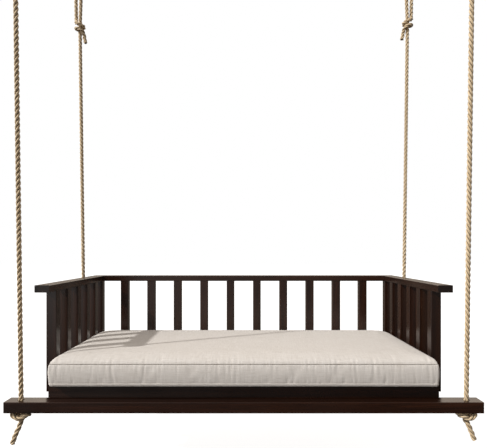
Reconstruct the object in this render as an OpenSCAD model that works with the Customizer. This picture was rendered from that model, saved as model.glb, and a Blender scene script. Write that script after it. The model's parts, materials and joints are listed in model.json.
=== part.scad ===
// Hanging swing bed: a slatted wooden day bed on two carrying beams, hung from the ceiling on four ropes.
// Millimetres. The origin is on the ceiling, midway between the four eye bolts.
// +X is the right of someone who faces the bed, +Y is its back, +Z is up.

/* [Hanging] */
// Height from the top of the carrying beams up to the ceiling
drop = 2640; // [2620:10:2800]
// Distance between the rope holes of one beam
hole_span = 2200; // [2160:10:2220]
// Distance between the left and the right eye bolts
eye_span = 2284; // [2250:2:2300]
// Distance between the front and the rear ropes
rope_gauge = 962; // [950:2:980]
// Thickness of the rope
rope_d = 25; // [22:1:25]
// Height of each loop knot above the beams: front left, front right, rear left, rear right
loop_knot_heights = [2275, 2285, 2267, 2291]; // [2240:1:2300]

/* [Ceiling fittings] */
// Thickness of the eye bolt's ring
eye_wire = 12; // [10:1:12]
// Diameter of the eye bolt's ring, measured in the middle of its wire
eye_ring_d = 52; // [50:1:56]
// Thickness of the eye bolt's shank
shank_d = 12; // [10:1:14]
// Length of shank that goes up into the ceiling joist
shank_l = 75; // [60:5:100]
// Thickness of the oval link's wire
link_wire = 10; // [8:1:10]
// Width of the oval link, measured in the middle of its wire
link_w = 38; // [38:1:42]

/* [Carrying beams] */
// Length of a beam
beam_l = 2335; // [2320:5:2360]
// Width of a beam from front to back
beam_w = 85; // [80:1:90]
// Height of a beam
beam_h = 54; // [50:1:60]
// Diameter of the rope holes
hole_d = 32; // [32:1:36]

/* [Platform] */
// Length of the platform, which is also the space between the arms
platform_l = 1952; // [1940:2:1960]
// Front face of the platform, ahead of the middle
platform_front = 455; // [450:1:460]
// Back face of the platform, behind the middle
platform_back = 490; // [488:1:492]
// Height of the platform's rails
rail_h = 70; // [66:1:80]
// Thickness of the platform's rails
rail_t = 28; // [26:1:30]
// Thickness of the deck boards
board_t = 18; // [16:1:20]
// Number of deck boards
boards = 10; // [8:1:11]

/* [Arms and back] */
// Side of the square posts and spindles
spindle = 53; // [48:1:56]
// Height of the top of the arms above the beams
cap_top = 564; // [540:2:600]
// Thickness of the cap rails
cap_t = 37; // [34:1:40]
// Width of the cap rails
cap_w = 74; // [70:1:78]
// Gap between the beams and the lower ends of the spindles
spindle_lift = 3; // [2:1:12]
// Spacing of the spindles along an arm
arm_pitch = 168; // [160:1:172]
// Spacing of the spindles along the back
back_pitch = 183.5; // [182:0.5:184]
// Front end of the arms' cap rails, ahead of the middle
cap_front = 452; // [440:2:460]

/* [Mattress] */
// Length of the mattress
mattress_l = 1926; // [1890:2:1930]
// Front of the mattress, ahead of the middle
mattress_front = 507; // [500:1:510]
// Back of the mattress, behind the middle
mattress_back = 483; // [470:1:484]
// Height of the upper seam above the deck
seam_h = 109; // [100:1:125]
// Rise of the crown above the upper seam
crown = 39; // [8:1:44]

/* [Hidden] */
$fn = 48;

LEFT = -1;
RIGHT = 1;
FRONT = -1;
REAR = 1;
espresso = [0.13, 0.09, 0.07];
pine = [0.72, 0.58, 0.40];
hemp = [0.70, 0.58, 0.40];
linen = [0.84, 0.80, 0.74];
steel = [0.70, 0.70, 0.72];

arm_uprights = 6;                             // along each arm, with the front post and the corner post
back_spindles = 10;
edge_r = 3;                                   // eased edges of the timber
through = 1;                                  // how far a cut runs past a face
slack = 0.4;                                  // gap between metal pieces that move on each other
half_gauge = rope_gauge / 2;
hole_x = hole_span / 2;
eye_x = eye_span / 2;
arm_x = platform_l / 2;                       // inner faces of the arms
side_inset = 3;                               // the caps stand this far proud of the spindles' inner faces
cap_inner_x = arm_x - side_inset;
cap_outer_x = cap_inner_x + cap_w;
cap_inner_y = platform_back - side_inset;
cap_outer_y = cap_inner_y + cap_w;
spindle_top = cap_top - cap_t;
spindle_len = spindle_top - spindle_lift;
arm_line_x = arm_x + spindle / 2;
back_line_y = platform_back + spindle / 2;
arm_front_y = platform_back - (arm_uprights - 1) * arm_pitch;

// Fasteners
dowel_d = 10;
dowel_l = 30;
screw_d = 5;
screw_l = 58;
screw_head_d = 10;
screw_head_t = 4;
screw_rows = [18, 42];                        // heights of the two screws of each spindle
board_screw_d = 4;
board_screw_l = 35;
bolt_d = 8;
bolt_l = 90;
bolt_head_d = 16;
bolt_head_t = 5;
cleat_w = 50;
cleat_h = 45;
cleat_bolt_x = [-735, -550, -184, 184, 550, 735];
rear_bolt_x = [-925, -550, -184, 184, 550, 925];
front_bolt_y = -405;
joist_w = 38;
joist_x = [-908, -367, 0, 367, 908];
rail_dowel_z = [20, 50];

// Hinges of the hanging: on the eye's wire, then on the link's wire, then at the mouth of the beam's hole
collar_t = 8;
collar_d = 34;
eye_centre_z = -(collar_t + eye_ring_d / 2 + 4);
swing_z = eye_centre_z - eye_ring_d / 2;
sway_z = -110;
link_top_z = swing_z + eye_wire / 2 + slack + link_wire / 2;
bight_r = link_wire / 2 + slack + rope_d / 2;
rope_drop = drop + sway_z;                    // height of the rope's bight above the beams

// ---------- shared shapes ----------

module rounded_profile(w, h, r = edge_r) {
    square([w - 2 * r, h], center = true);
    square([w, h - 2 * r], center = true);
    for (x = [-1, 1], y = [-1, 1])
        translate([x * (w / 2 - r), y * (h / 2 - r)]) circle(r);
}

// timber along X, Y or Z, given by its middle
module timber_x(centre, l, w, h)
    translate(centre) rotate([90, 0, 90]) linear_extrude(l, center = true) rounded_profile(w, h);

module timber_y(centre, l, w, h)
    translate(centre) rotate([90, 0, 0]) linear_extrude(l, center = true) rounded_profile(w, h);

module timber_z(centre, l, w, d)
    translate(centre) linear_extrude(l, center = true) rounded_profile(w, d);

module on_beams() translate([0, 0, -drop]) children();

// a point of the bed, given above the beams, in the whole object's frame
function above_beams(p) = [p[0], p[1], p[2] - drop];

function left_to_right(n, pitch) = [for (i = [0:n - 1]) (i - (n - 1) / 2) * pitch];
back_x = left_to_right(back_spindles, back_pitch);
arm_y = [for (i = [0:arm_uprights - 1]) arm_front_y + i * arm_pitch + spindle / 2];

// ---------- swept tubes ----------

function unit(v) = v / norm(v);
function heading(path, i) = unit(path[min(i + 1, len(path) - 1)] - path[max(i - 1, 0)]);
function square_to(v, t) = unit(v - (v * t) * t);

// one side vector for each ring, carried along the path without twist
function side_vectors(path) = [
    for (i = 0, v = square_to(abs(heading(path, 0)[1]) < 0.9 ? [0, 1, 0] : [1, 0, 0], heading(path, 0));
         i < len(path);
         i = i + 1, v = i < len(path) ? square_to(v, heading(path, i)) : v) v
];

// a round tube along a path, with one radius for each ring
module tube(path, radii, sides = 8) {
    n = len(path);
    v = side_vectors(path);
    points = [
        for (i = [0:n - 1], k = [0:sides - 1])
            let (w = cross(heading(path, i), v[i]), a = 360 * k / sides)
            path[i] + radii[i] * (v[i] * cos(a) + w * sin(a))
    ];
    walls = [
        for (i = [0:n - 2], k = [0:sides - 1])
            let (a = i * sides + k, b = i * sides + (k + 1) % sides)
            each [[a, b + sides, b], [a, a + sides, b + sides]]
    ];
    start = [for (k = [1:sides - 2]) [0, k, k + 1]];
    last = (n - 1) * sides;
    end = [for (k = [1:sides - 2]) [last, last + k + 1, last + k]];
    polyhedron(points, concat(walls, start, end));
}

module even_tube(path, d = rope_d) tube(path, [for (p = path) d / 2]);

// two steps for each stretch of a path, on a smooth curve through its points
smooth_steps = 2;
function smooth(path) = [
    for (i = [0:len(path) - 2], k = [0:smooth_steps - 1])
        let (
            before = path[max(i - 1, 0)],
            from = path[i],
            to = path[i + 1],
            after = path[min(i + 2, len(path) - 1)],
            t = k / smooth_steps
        )
        from + t / 2 * (to - before)
        + t * t / 2 * (2 * before - 5 * from + 4 * to - after)
        + t * t * t / 2 * (3 * from - 3 * to + after - before),
    path[len(path) - 1]
];

// a rope's own frame: outward from the middle of the bed, back, and up from the beams
function rope_point(side, row, p) = above_beams([side * p[0], row * half_gauge + p[1], p[2]]);
function rope_path(side, row, points) = [for (p = points) rope_point(side, row, p)];
// the loop knots hang a little apart in height
function knot_height(side, row) = loop_knot_heights[(row == FRONT ? 0 : 2) + (side == LEFT ? 0 : 1)];

// ---------- ropes ----------

// the taut rope leans outwards at the same rate all the way up to its loop knot
lean = 0.0134;
function standing_x(z) = hole_x + lean * z;
neck_gap = 0.2;
nose = [[-12, 3.4], [-9, 8.6], [-5, 11.4]];   // height and radius of the rounded lower end's rings
strand_turn = 5;                              // the return strand leans this far back above its knot
wrap_r = rope_d + 0.9;                        // the knot's turns, measured in the middle of the rope
wrap_turns = 1.5;
wrap_fall = 44;
wrap_top = 30;
wrap_lead = 20;
wrap_lead_angle = 110;
wrap_steps_per_turn = 24;

function return_x(side, row) = standing_x(knot_height(side, row)) + 28;

// up the standing part, over the oval link and back down to the knot
function rope_centres(side, row) =
    let (kz = knot_height(side, row))
    concat(
        [for (z = [450, 900, 1350, 1800, 2150]) [standing_x(z), 0, z]],
        [[standing_x(kz - 60), 0, kz - 60], [standing_x(kz), 0, kz], [standing_x(kz) - 1, 0, kz + 45]],
        [[eye_x - 17.5, 0, rope_drop - 60]],
        [for (a = [0:22.5:180]) [eye_x - bight_r * cos(a), 0, rope_drop + bight_r * sin(a)]],
        [[eye_x + 16.5, 0, rope_drop - 70]],
        [[return_x(side, row), strand_turn, kz + 88]]
    );

module rope(side, row, rounded_end) {
    start = rounded_end
        ? [for (n = nose) [hole_x, 0, n[0]]]
        : [[standing_x(rope_d / 2), 0, rope_d / 2 + neck_gap]];
    start_radii = rounded_end ? [for (n = nose) n[1]] : [rope_d / 2];
    foot = rounded_end ? [[hole_x, 0, 0]] : [];
    centres = concat(start, foot, rope_centres(side, row));
    radii = concat(start_radii, [for (i = [len(start_radii):len(centres) - 1]) rope_d / 2]);
    color(hemp) tube(rope_path(side, row, centres), radii);
}

// height of the knot's turns at an angle from where they start
function wrap_z(a) =
    let (whole = 360 * wrap_turns, lead_out = whole - wrap_lead_angle)
    wrap_top - wrap_fall * a / whole
    + (a < wrap_lead_angle ? wrap_lead * pow(1 - a / wrap_lead_angle, 2) : 0)
    - (a > lead_out ? wrap_lead * pow((a - lead_out) / wrap_lead_angle, 2) : 0);

wrap_step = 360 / wrap_steps_per_turn;
knot_wraps = [
    for (a = [wrap_step:wrap_step:360 * wrap_turns - wrap_step])
        [-wrap_r * cos(a), -wrap_r * sin(a), wrap_z(a)]
];
// inward from the standing part, back, and up from the knot's middle
knot_lead_in = [[-28, strand_turn, 88], [-28, 6, 74], [-28, 7, 62]];
knot_tail = [[28, 6, -46], [29, 7, -60], [33, 6, -78], [38, 4, -95]];
loop_knot_centres = concat(knot_lead_in, knot_wraps, knot_tail);

module loop_knot(side, row) {
    kz = knot_height(side, row);
    centres = [for (p = loop_knot_centres) [standing_x(kz) - p[0], p[1], kz + p[2]]];
    color(hemp) even_tube(rope_path(side, row, centres));
}

// the stopper knot: out of the hole, once round under the beam, down through its middle, then the free tail;
// the points are inward from the hole, back, and down from the beam's underside
stub_top = 15;                                // depth of the rope's lower part in the hole
stopper_round = [
    [0, 0, stub_top - beam_h], [0, 0, -12], [1, 1, 3], [4, 2, 8], [9, 4, 11.5], [15, 6, 13], [24, 8, 13],
    [34, 6, 13], [42, -1, 13], [42, -11, 14], [35, -19, 16], [26, -22, 19], [17, -23, 23], [8, -23, 28],
    [-1, -23, 31], [-11, -23, 29], [-21, -22, 25], [-31, -18, 19], [-38, -10, 16], [-40, 0, 14],
    [-37, 9, 14], [-29, 17, 18], [-19, 21, 25], [-9, 22, 31], [-2, 19, 38], [0, 13, 46], [-2, 6, 54]
];
left_tail = [[-4, 1, 62], [-10, 0, 80], [-26, -3, 117], [-41, -6, 162]];
right_tail = [[-7, 1, 62], [-15, 0, 80], [-28, -3, 115], [-37, -5, 142]];
function stopper_centres(side) = smooth(concat(stopper_round, side == LEFT ? left_tail : right_tail));

module stopper(side, row) {
    centres = [for (p = stopper_centres(side)) [hole_x - p[0], p[1], -beam_h - p[2]]];
    color(hemp) even_tube(rope_path(side, row, centres));
}

// the rope at the mouth of the front left hole, where it bends when the bed swings
module rope_neck()
    color(hemp) translate(rope_point(LEFT, FRONT, [hole_x, 0, 0])) sphere(d = rope_d);

// least clear distance between the rings of a tube that lie at least so many rings apart along it
function turn_gap(path, apart) = min([
    for (i = [0:len(path) - 1 - apart], j = [i + apart:len(path) - 1]) norm(path[i] - path[j])
]) - rope_d;
echo(loop_knot_least_gap = turn_gap(knot_wraps, wrap_steps_per_turn / 2));
stopper_bend_rings = 8;
echo(stopper_least_gap = turn_gap(smooth(stopper_round), stopper_bend_rings));

// ---------- ceiling fittings ----------

module at_hangers(rows)
    for (row = rows, side = [LEFT, RIGHT])
        translate([side * eye_x, row * half_gauge, 0]) children();

module eye_bolt() {
    cylinder(d = shank_d, h = shank_l);
    translate([0, 0, -collar_t]) cylinder(d = collar_d, h = collar_t);
    translate([0, 0, eye_centre_z]) rotate([90, 0, 0])
        rotate_extrude() translate([eye_ring_d / 2, 0]) circle(d = eye_wire);
}

module eye_bolts() color(steel) at_hangers([FRONT, REAR]) eye_bolt();

// an oval screw link that stands in the Y-Z plane, one end round the eye's wire, one in the rope
module link_end(z, points_up)
    translate([0, 0, z]) rotate([points_up ? 90 : -90, 0, 90])
        rotate_extrude(angle = 180) translate([link_w / 2, 0]) circle(d = link_wire);

module oval_link() {
    top_centre = link_top_z - link_w / 2;
    bottom_centre = sway_z + link_w / 2;
    straight = top_centre - bottom_centre;
    nut_d = 15;
    nut_l = 14;
    link_end(top_centre, true);
    link_end(bottom_centre, false);
    for (y = [-1, 1])
        translate([0, y * link_w / 2, bottom_centre]) cylinder(d = link_wire, h = straight);
    translate([0, link_w / 2, top_centre - nut_l]) cylinder(d = nut_d, h = nut_l);
}

module links(row) color(steel) at_hangers([row]) oval_link();

// ---------- carrying beams ----------

module beam(row)
    color(espresso) on_beams() difference() {
        timber_x([0, row * half_gauge, -beam_h / 2], beam_l, beam_w, beam_h);
        for (side = [LEFT, RIGHT])
            translate([side * hole_x, row * half_gauge, -beam_h - through])
                cylinder(d = hole_d, h = beam_h + 2 * through);
    }

cleat_back = -half_gauge + beam_w / 2 + cleat_w;
module front_cleat()
    color(espresso) on_beams()
        timber_x([0, cleat_back - cleat_w / 2, -cleat_h / 2], platform_l, cleat_w, cleat_h);

// ---------- platform ----------

inner_front = -platform_front + rail_t;
inner_back = platform_back - rail_t;
side_rail_x = arm_x - rail_t / 2;
rail_depth = inner_back - inner_front;
rail_middle_y = (inner_back + inner_front) / 2;
joist_h = rail_h - board_t;

// dowels between the long rails and what ends on them: x and height
rail_dowel_places = concat(
    [for (x = [-side_rail_x, side_rail_x], z = rail_dowel_z) [x, z]],
    [for (x = joist_x) [x, joist_h / 2]]
);
module rail_dowels(y) for (p = rail_dowel_places) dowel_y([p[0], y, p[1]]);
module dowel_y(centre) translate(centre) rotate([90, 0, 0]) cylinder(d = dowel_d, h = dowel_l, center = true);

module long_rail(y, l)
    color(espresso) on_beams() difference() {
        timber_x([0, y, rail_h / 2], l, rail_t, rail_h);
        rail_dowels(inner_front);
        rail_dowels(inner_back);
    }

module side_rail(side)
    color(espresso) on_beams() difference() {
        timber_y([side * side_rail_x, rail_middle_y, rail_h / 2], rail_depth, rail_t, rail_h);
        rail_dowels(inner_front);
        rail_dowels(inner_back);
    }

module joist(i)
    color(pine) on_beams() difference() {
        timber_y([joist_x[i], rail_middle_y, joist_h / 2], rail_depth, joist_w, joist_h);
        rail_dowels(inner_front);
        rail_dowels(inner_back);
    }

board_gap = 8;
board_w = (rail_depth - (boards + 1) * board_gap) / boards;
board_end_gap = 3;
board_l = platform_l - 2 * (rail_t + board_end_gap);
board_y = [for (i = [0:boards - 1]) inner_front + board_gap + board_w / 2 + i * (board_w + board_gap)];

module deck_boards()
    color(pine) on_beams() for (y = board_y)
        translate([0, y, rail_h - board_t / 2]) cube([board_l, board_w, board_t], center = true);

// ---------- arms and back ----------

module cap_dowel(x, y)
    translate([x, y, spindle_top]) cylinder(d = dowel_d, h = dowel_l, center = true);
module cap_dowels() {
    for (side = [LEFT, RIGHT], y = arm_y) cap_dowel(side * arm_line_x, y);
    for (x = back_x) cap_dowel(x, back_line_y);
}

module upright(x, y)
    color(espresso) on_beams() difference() {
        timber_z([x, y, spindle_lift + spindle_len / 2], spindle_len, spindle, spindle);
        cap_dowel(x, y);
    }

module arm_upright(side, i) upright(side * arm_line_x, arm_y[i]);

// the caps meet at the back corners in a mitre, from the inner to the outer corner
module mitre_block(side, keep_back) {
    big = 400;
    translate([side * cap_inner_x, cap_inner_y, cap_top - cap_t / 2])
        rotate([0, 0, side == RIGHT ? 45 : 135])
        translate([0, (keep_back == (side == RIGHT) ? -1 : 1) * big / 2, 0])
        cube([2 * big, big, 2 * cap_t], center = true);
}

module side_cap(side)
    color(espresso) on_beams() difference() {
        timber_y([side * (cap_inner_x + cap_w / 2), (cap_outer_y - cap_front) / 2, cap_top - cap_t / 2],
                 cap_outer_y + cap_front, cap_w, cap_t);
        mitre_block(side, false);
        for (y = arm_y) cap_dowel(side * arm_line_x, y);
    }

module back_cap()
    color(espresso) on_beams() difference() {
        timber_x([0, cap_inner_y + cap_w / 2, cap_top - cap_t / 2], 2 * cap_outer_x, cap_w, cap_t);
        for (side = [LEFT, RIGHT]) {
            mitre_block(side, true);
            cap_dowel(side * arm_line_x, back_line_y);
        }
        for (x = back_x) cap_dowel(x, back_line_y);
    }

// ---------- fasteners ----------

module dowels()
    color(pine) on_beams() {
        cap_dowels();
        rail_dowels(inner_front);
        rail_dowels(inner_back);
    }

// a screw that points along +X or +Y from the face that its head lies on
module screw() {
    rotate([0, 90, 0]) cylinder(d = screw_d, h = screw_l);
    rotate([0, -90, 0]) cylinder(d = screw_head_d, h = screw_head_t);
}

module spindle_screws()
    color(steel) on_beams() for (z = screw_rows) {
        for (side = [LEFT, RIGHT], i = [0:arm_uprights - 2])
            translate([side * (arm_x - rail_t), arm_y[i], z]) rotate([0, 0, side == RIGHT ? 0 : 180]) screw();
        for (x = concat(back_x, [-arm_line_x, arm_line_x]))
            translate([x, inner_back, z]) rotate([0, 0, 90]) screw();
    }

module deck_screws()
    color(steel) on_beams() for (x = joist_x, y = board_y)
        translate([x, y, rail_h - board_screw_l]) cylinder(d = board_screw_d, h = board_screw_l);

// a lag bolt that points up from the face that its head lies on
module lag_bolt() {
    cylinder(d = bolt_d, h = bolt_l);
    translate([0, 0, -bolt_head_t]) cylinder(d = bolt_head_d, h = bolt_head_t);
}

module beam_bolts()
    color(steel) on_beams() {
        for (x = concat(joist_x, [-side_rail_x, side_rail_x]))
            translate([x, front_bolt_y, -cleat_h]) lag_bolt();
        for (x = cleat_bolt_x)
            translate([x, cleat_back, -cleat_h / 2]) rotate([90, 0, 0]) lag_bolt();
        for (x = rear_bolt_x)
            translate([x, platform_back - rail_t / 2, -beam_h]) lag_bolt();
    }

// ---------- mattress ----------

corner_r = 20;
corner_steps = 4;
long_steps = 12;
short_steps = 12;
mattress_w = mattress_front + mattress_back;
mattress_y = (mattress_back - mattress_front) / 2;
side_draw = 2;                                // how far a side is drawn in midway between its corners
draw_fade = 160;                              // the drawn-in outline straightens over this distance inward
crown_run = 80;                               // the crown rises over this distance inward
crown_power = 4;
rear_share = 0.44;                            // what is left of the crown along the back
rear_fall_from = 250;
rear_fall_to = 460;

seam_inset = 7;
// levels of the mattress from its underside up:
// inset from the outline, height above the deck, share of the crown
side_levels = [
    [26, 0, 0], [14, 1.5, 0], [6, 6, 0], [4, 12, 0], [1.5, 24, 0],
    [0, 45, 0], [0, 70, 0], [2, 90, 0], [5, 103, 0], [seam_inset, seam_h, 0]
];
top_insets = [10, 15, 22, 32, 50, 87, 160, 260];
function crown_part(t) = 1 - pow(1 - min(t / crown_run, 1), crown_power);
levels = concat(side_levels, [for (t = top_insets) [t, seam_h, crown_part(t - seam_inset)]]);
// share of the crown that is left at a place between the front and the back
function kept_crown(y) =
    let (u = min(max((y - rear_fall_from) / (rear_fall_to - rear_fall_from), 0), 1))
    1 - (1 - rear_share) * u * u * (3 - 2 * u);

function bowed(s) = side_draw * (1 - pow(2 * s - 1, 2));
// one corner's arc, then the side that follows it, drawn in towards its middle
function quarter(hx, hy, r, steps, along) = concat(
    [for (k = [0:corner_steps]) let (a = 90 * k / corner_steps) [hx - r + r * cos(a), hy - r + r * sin(a)]],
    [for (k = [1:steps - 1]) let (s = k / steps) [(hx - r) * (1 - 2 * s), hy - bowed(s) * along]]
);
function turned(points, a) = [
    for (p = points) [p[0] * cos(a) - p[1] * sin(a), p[0] * sin(a) + p[1] * cos(a)]
];
function outline(inset) =
    let (
        hx = mattress_l / 2 - inset,
        hy = mattress_w / 2 - inset,
        r = max(corner_r - inset, 4),
        draw = max(0, 1 - inset / draw_fade)
    )
    concat(
        quarter(hx, hy, r, long_steps, draw),
        turned(quarter(hy, hx, r, short_steps, draw), 90),
        turned(quarter(hx, hy, r, long_steps, draw), 180),
        turned(quarter(hy, hx, r, short_steps, draw), 270)
    );

module mattress() {
    rings = [for (level = levels) [for (p = outline(level[0]))
        let (y = p[1] + mattress_y)
        [p[0], y, rail_h + level[1] + crown * level[2] * kept_crown(y)]
    ]];
    n = len(rings[0]);
    m = len(rings);
    points = concat(
        [for (ring = rings) each ring],
        [[0, mattress_y, rail_h], [0, mattress_y, rail_h + seam_h + crown]]
    );
    walls = [
        for (i = [0:m - 2], k = [0:n - 1])
            let (a = i * n + k, b = i * n + (k + 1) % n)
            each [[a, b + n, b], [a, a + n, b + n]]
    ];
    underside = [for (k = [0:n - 1]) [n * m, k, (k + 1) % n]];
    top = [for (k = [0:n - 1]) [n * m + 1, (m - 1) * n + (k + 1) % n, (m - 1) * n + k]];
    color(linen) on_beams() polyhedron(points, concat(walls, underside, top));
}

// ---------- the pieces, one node each ----------

beam(FRONT);  // front_beam
beam(REAR);  // rear_beam
front_cleat();
long_rail(-platform_front + rail_t / 2, platform_l);  // front_rail
long_rail(platform_back - rail_t / 2, platform_l + 2 * spindle);  // rear_rail
side_rail(LEFT);  // left_rail
side_rail(RIGHT);  // right_rail
joist(0);  // joist_1
joist(1);  // joist_2
joist(2);  // joist_3
joist(3);  // joist_4
joist(4);  // joist_5
deck_boards();
side_cap(LEFT);  // left_cap
side_cap(RIGHT);  // right_cap
back_cap();
arm_upright(LEFT, 0);  // left_front_post
arm_upright(LEFT, 1);  // left_spindle_1
arm_upright(LEFT, 2);  // left_spindle_2
arm_upright(LEFT, 3);  // left_spindle_3
arm_upright(LEFT, 4);  // left_spindle_4
arm_upright(LEFT, 5);  // left_corner_post
arm_upright(RIGHT, 0);  // right_front_post
arm_upright(RIGHT, 1);  // right_spindle_1
arm_upright(RIGHT, 2);  // right_spindle_2
arm_upright(RIGHT, 3);  // right_spindle_3
arm_upright(RIGHT, 4);  // right_spindle_4
arm_upright(RIGHT, 5);  // right_corner_post
upright(back_x[0], back_line_y);  // back_spindle_1
upright(back_x[1], back_line_y);  // back_spindle_2
upright(back_x[2], back_line_y);  // back_spindle_3
upright(back_x[3], back_line_y);  // back_spindle_4
upright(back_x[4], back_line_y);  // back_spindle_5
upright(back_x[5], back_line_y);  // back_spindle_6
upright(back_x[6], back_line_y);  // back_spindle_7
upright(back_x[7], back_line_y);  // back_spindle_8
upright(back_x[8], back_line_y);  // back_spindle_9
upright(back_x[9], back_line_y);  // back_spindle_10
mattress();
dowels();
spindle_screws();
deck_screws();
beam_bolts();
eye_bolts();
links(FRONT);  // front_links
links(REAR);  // rear_links
rope(LEFT, FRONT, false);  // front_left_rope
rope(RIGHT, FRONT, true);  // front_right_rope
rope(LEFT, REAR, true);  // rear_left_rope
rope(RIGHT, REAR, true);  // rear_right_rope
loop_knot(LEFT, FRONT);  // front_left_loop_knot
loop_knot(RIGHT, FRONT);  // front_right_loop_knot
loop_knot(LEFT, REAR);  // rear_left_loop_knot
loop_knot(RIGHT, REAR);  // rear_right_loop_knot
stopper(LEFT, FRONT);  // front_left_stopper
stopper(RIGHT, FRONT);  // front_right_stopper
stopper(LEFT, REAR);  // rear_left_stopper
stopper(RIGHT, REAR);  // rear_right_stopper
rope_neck();  // front_left_rope_neck
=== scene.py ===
"""The looks of a hanging swing bed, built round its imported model. Metres, in the model's own frame:
the origin is on the ceiling, +X is the right of someone who faces the bed, +Y is its back, +Z is up."""

import json
import math
import random

import bmesh
import bpy
import numpy as np
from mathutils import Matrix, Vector, kdtree


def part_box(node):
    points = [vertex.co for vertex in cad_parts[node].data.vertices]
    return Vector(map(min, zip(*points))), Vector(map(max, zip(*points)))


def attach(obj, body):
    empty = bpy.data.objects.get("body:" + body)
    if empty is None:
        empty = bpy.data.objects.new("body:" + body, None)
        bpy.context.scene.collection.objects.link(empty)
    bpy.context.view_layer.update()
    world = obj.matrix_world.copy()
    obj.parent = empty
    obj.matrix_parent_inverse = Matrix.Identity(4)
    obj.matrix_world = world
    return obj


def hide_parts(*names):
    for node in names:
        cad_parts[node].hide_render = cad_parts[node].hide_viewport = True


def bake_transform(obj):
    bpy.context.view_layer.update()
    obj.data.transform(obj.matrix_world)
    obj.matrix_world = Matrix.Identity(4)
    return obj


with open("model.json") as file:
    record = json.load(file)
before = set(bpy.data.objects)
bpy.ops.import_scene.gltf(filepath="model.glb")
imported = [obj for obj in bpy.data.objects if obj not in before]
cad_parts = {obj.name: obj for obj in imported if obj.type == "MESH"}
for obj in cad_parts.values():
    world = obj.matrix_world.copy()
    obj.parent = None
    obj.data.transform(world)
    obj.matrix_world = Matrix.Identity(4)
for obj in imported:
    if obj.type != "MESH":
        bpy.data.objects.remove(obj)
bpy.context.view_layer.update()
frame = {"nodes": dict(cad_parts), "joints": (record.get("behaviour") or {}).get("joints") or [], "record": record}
scene = bpy.context.scene

# ---------- camera ----------
# A level view from straight in front of the bed, about 1.2 m above the floor.
# The frame is shifted up, because the bed hangs below the lens and the ropes reach far above it.

EYE_HEIGHT = -1.903
EYE_DISTANCE = 2.901

lens = bpy.data.cameras.new("camera")
lens.lens, lens.sensor_width = 36.2, 36
lens.shift_x, lens.shift_y = -0.0004, 0.0548
lens.clip_end = 60
camera = bpy.data.objects.new("camera", lens)
camera.location = (0, -EYE_DISTANCE, EYE_HEIGHT)
camera.rotation_euler = (math.pi / 2, 0, 0)
scene.collection.objects.link(camera)
scene.camera = camera

# ---------- ropes ----------
# Three-strand natural fibre rope, 25 mm thick. Each rope comes up out of its hole in a beam, goes over an
# oval link at the ceiling, and is tied round itself below. Under the beam it ends in a stopper knot.

mount = frame["record"]["mounts"][0]["dims"]
joint_at = {joint["name"]: joint["pos_m"] for joint in frame["joints"]}
EYE_X = mount["spacing_x_mm"] / 2000
ROPE_Y = mount["spacing_y_mm"] / 2000
HOLE_X = -joint_at["neck_sway"][0]
BEAM_TOP = joint_at["neck_sway"][2]
BEAM_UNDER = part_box("front_beam")[0].z
BIGHT = joint_at["sway"][2] - BEAM_TOP
LEFT, RIGHT, FRONT, REAR = -1, 1, -1, 1
CORNERS = {
    # name: side, row, height of the loop knot above the beams, the way that the strands wind
    "front_left": (LEFT, FRONT, 2.275, 1),
    "front_right": (RIGHT, FRONT, 2.285, -1),
    "rear_left": (LEFT, REAR, 2.267, -1),
    "rear_right": (RIGHT, REAR, 2.291, 1),
}
LEAN = 0.0134
BIGHT_R = 0.0179
FOOT = -0.012          # the rope's lower end, just inside the hole
NECK_TOP = 0.0127      # at the front left hole the rope turns on a short neck of its own
WRAP_R = 0.0259
WRAP_TURNS = 1.5
WRAP_TOP, WRAP_FALL = 0.030, 0.044
WRAP_LEAD, WRAP_LEAD_ANGLE = 0.020, 110
STUB_TOP = 0.015
ROPE_STEP = 0.004


def standing_x(z):
    return HOLE_X + LEAN * z


def wrap_z(a):
    """height of the loop knot's turns at an angle from where they start"""
    whole = 360 * WRAP_TURNS
    rise = max(0, 1 - a / WRAP_LEAD_ANGLE) ** 2 - max(0, (a - whole) / WRAP_LEAD_ANGLE + 1) ** 2
    return WRAP_TOP - WRAP_FALL * a / whole + WRAP_LEAD * rise


def circle_point(r, degrees):
    return r * math.cos(math.radians(degrees)), r * math.sin(math.radians(degrees))


def hanging_route(kz, foot):
    """outward from the middle, back, and up from the beams: hole, ceiling link, loop knot and tail"""
    x = standing_x(kz)
    up = [(standing_x(foot), 0, foot)] + [(standing_x(z), 0, z) for z in (0.45, 0.9, 1.35, 1.8, 2.15)]
    up += [(standing_x(kz - 0.06), 0, kz - 0.06), (x, 0, kz), (x - 0.001, 0, kz + 0.045)]
    up += [(EYE_X - 0.0175, 0, BIGHT - 0.06)]
    over = [(EYE_X - c, 0, BIGHT + s) for c, s in (circle_point(BIGHT_R, 22.5 * i) for i in range(9))]
    down = [(EYE_X + 0.0165, 0, BIGHT - 0.07), (x + 0.028, 0.005, kz + 0.088)]
    knot = [(-0.028, 0.006, 0.074), (-0.028, 0.007, 0.062)]
    for a in range(15, round(360 * WRAP_TURNS), 15):
        c, s = circle_point(WRAP_R, a)
        knot.append((-c, -s, wrap_z(a)))
    knot += [(0.028, 0.006, -0.046), (0.029, 0.007, -0.060)]
    knot += [(0.033, 0.006, -0.078), (0.038, 0.004, -0.095)]
    return up + over + down + [(x - inward, back, kz + z) for inward, back, z in knot]


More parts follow.
